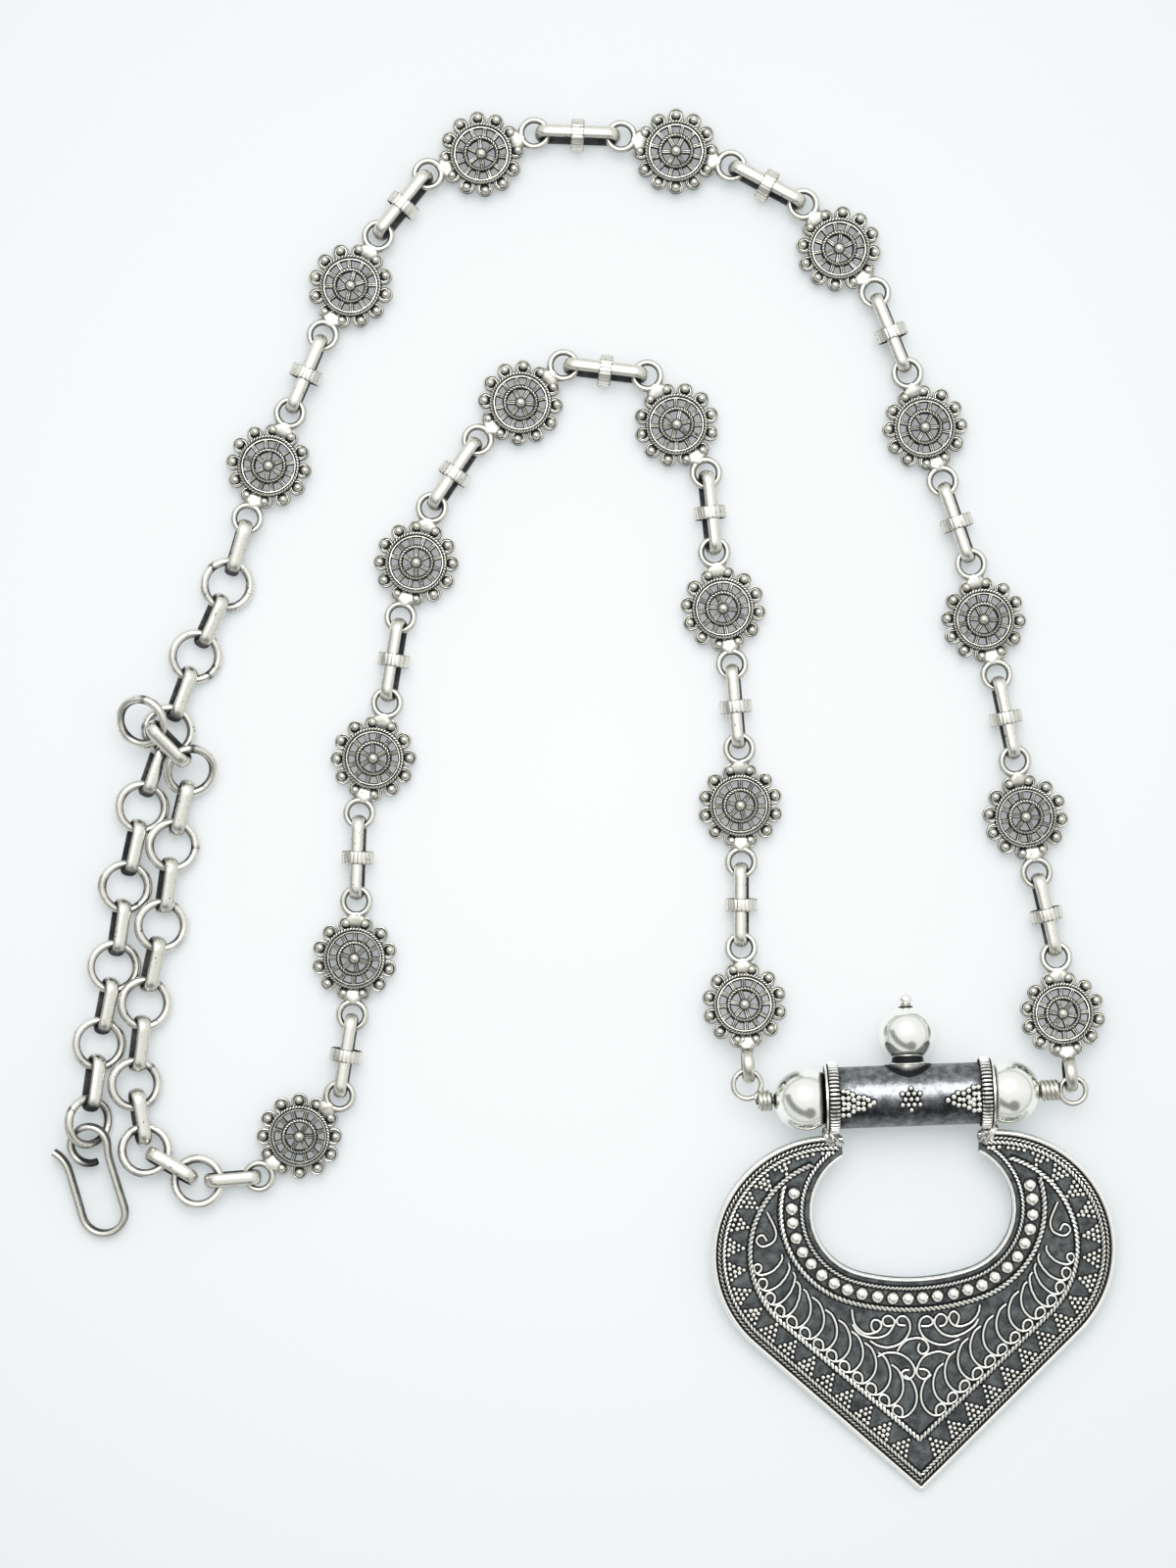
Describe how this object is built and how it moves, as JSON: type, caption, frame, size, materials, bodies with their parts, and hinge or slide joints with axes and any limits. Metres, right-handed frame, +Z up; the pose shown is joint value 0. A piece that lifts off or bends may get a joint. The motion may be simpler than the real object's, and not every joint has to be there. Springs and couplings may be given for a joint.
{
  "type": "long station necklace",
  "caption": "Long antique silver necklace with pierced wheel stations, collared links, a granulated crescent pendant on a beaded tube, and ring chains ending in a hook and a ring.",
  "frame": {"origin": "middle of the bounding box's underside, on the surface that the necklace lies on", "axes": "+Z up from the surface, +Y away from the viewer along the longest side, +X to the viewer's right"},
  "size_m": [0.1736, 0.2264, 0.0118],
  "materials": {
    "pendant_silver": "oxidised silver, raised parts polished",
    "polished_silver": "polished silver",
    "wire_silver": "worn silver",
    "medallion_silver": "antique silver, dark in the recesses",
    "link_silver": "antique silver, dark inside",
    "chain_silver": "antique silver with dark patina"
  },
  "bodies": {
    "root": {"pendant": "pendant_silver", "bead_left": "polished_silver", "bead_right": "polished_silver", "bead_wire": "wire_silver", "medallion_01": "medallion_silver", "medallion_02": "medallion_silver", "medallion_03": "medallion_silver", "medallion_04": "medallion_silver", "medallion_05": "medallion_silver", "medallion_06": "medallion_silver", "medallion_07": "medallion_silver", "medallion_08": "medallion_silver", "medallion_09": "medallion_silver", "medallion_10": "medallion_silver", "medallion_11": "medallion_silver", "medallion_12": "medallion_silver", "medallion_13": "medallion_silver", "medallion_14": "medallion_silver", "medallion_15": "medallion_silver", "medallion_16": "medallion_silver", "medallion_17": "medallion_silver", "medallion_18": "medallion_silver", "link_01": "link_silver", "link_02": "link_silver", "link_03": "link_silver", "link_04": "link_silver", "link_05": "link_silver", "link_06": "link_silver", "link_07": "link_silver", "link_08": "link_silver", "link_09": "link_silver", "link_10": "link_silver", "link_11": "link_silver", "link_12": "link_silver", "link_13": "link_silver", "link_14": "link_silver", "link_15": "link_silver", "link_16": "link_silver", "extension_chain_hook_side": "chain_silver", "extension_chain_ring_side": "chain_silver", "hook": "wire_silver"}
  },
  "joints": []
}
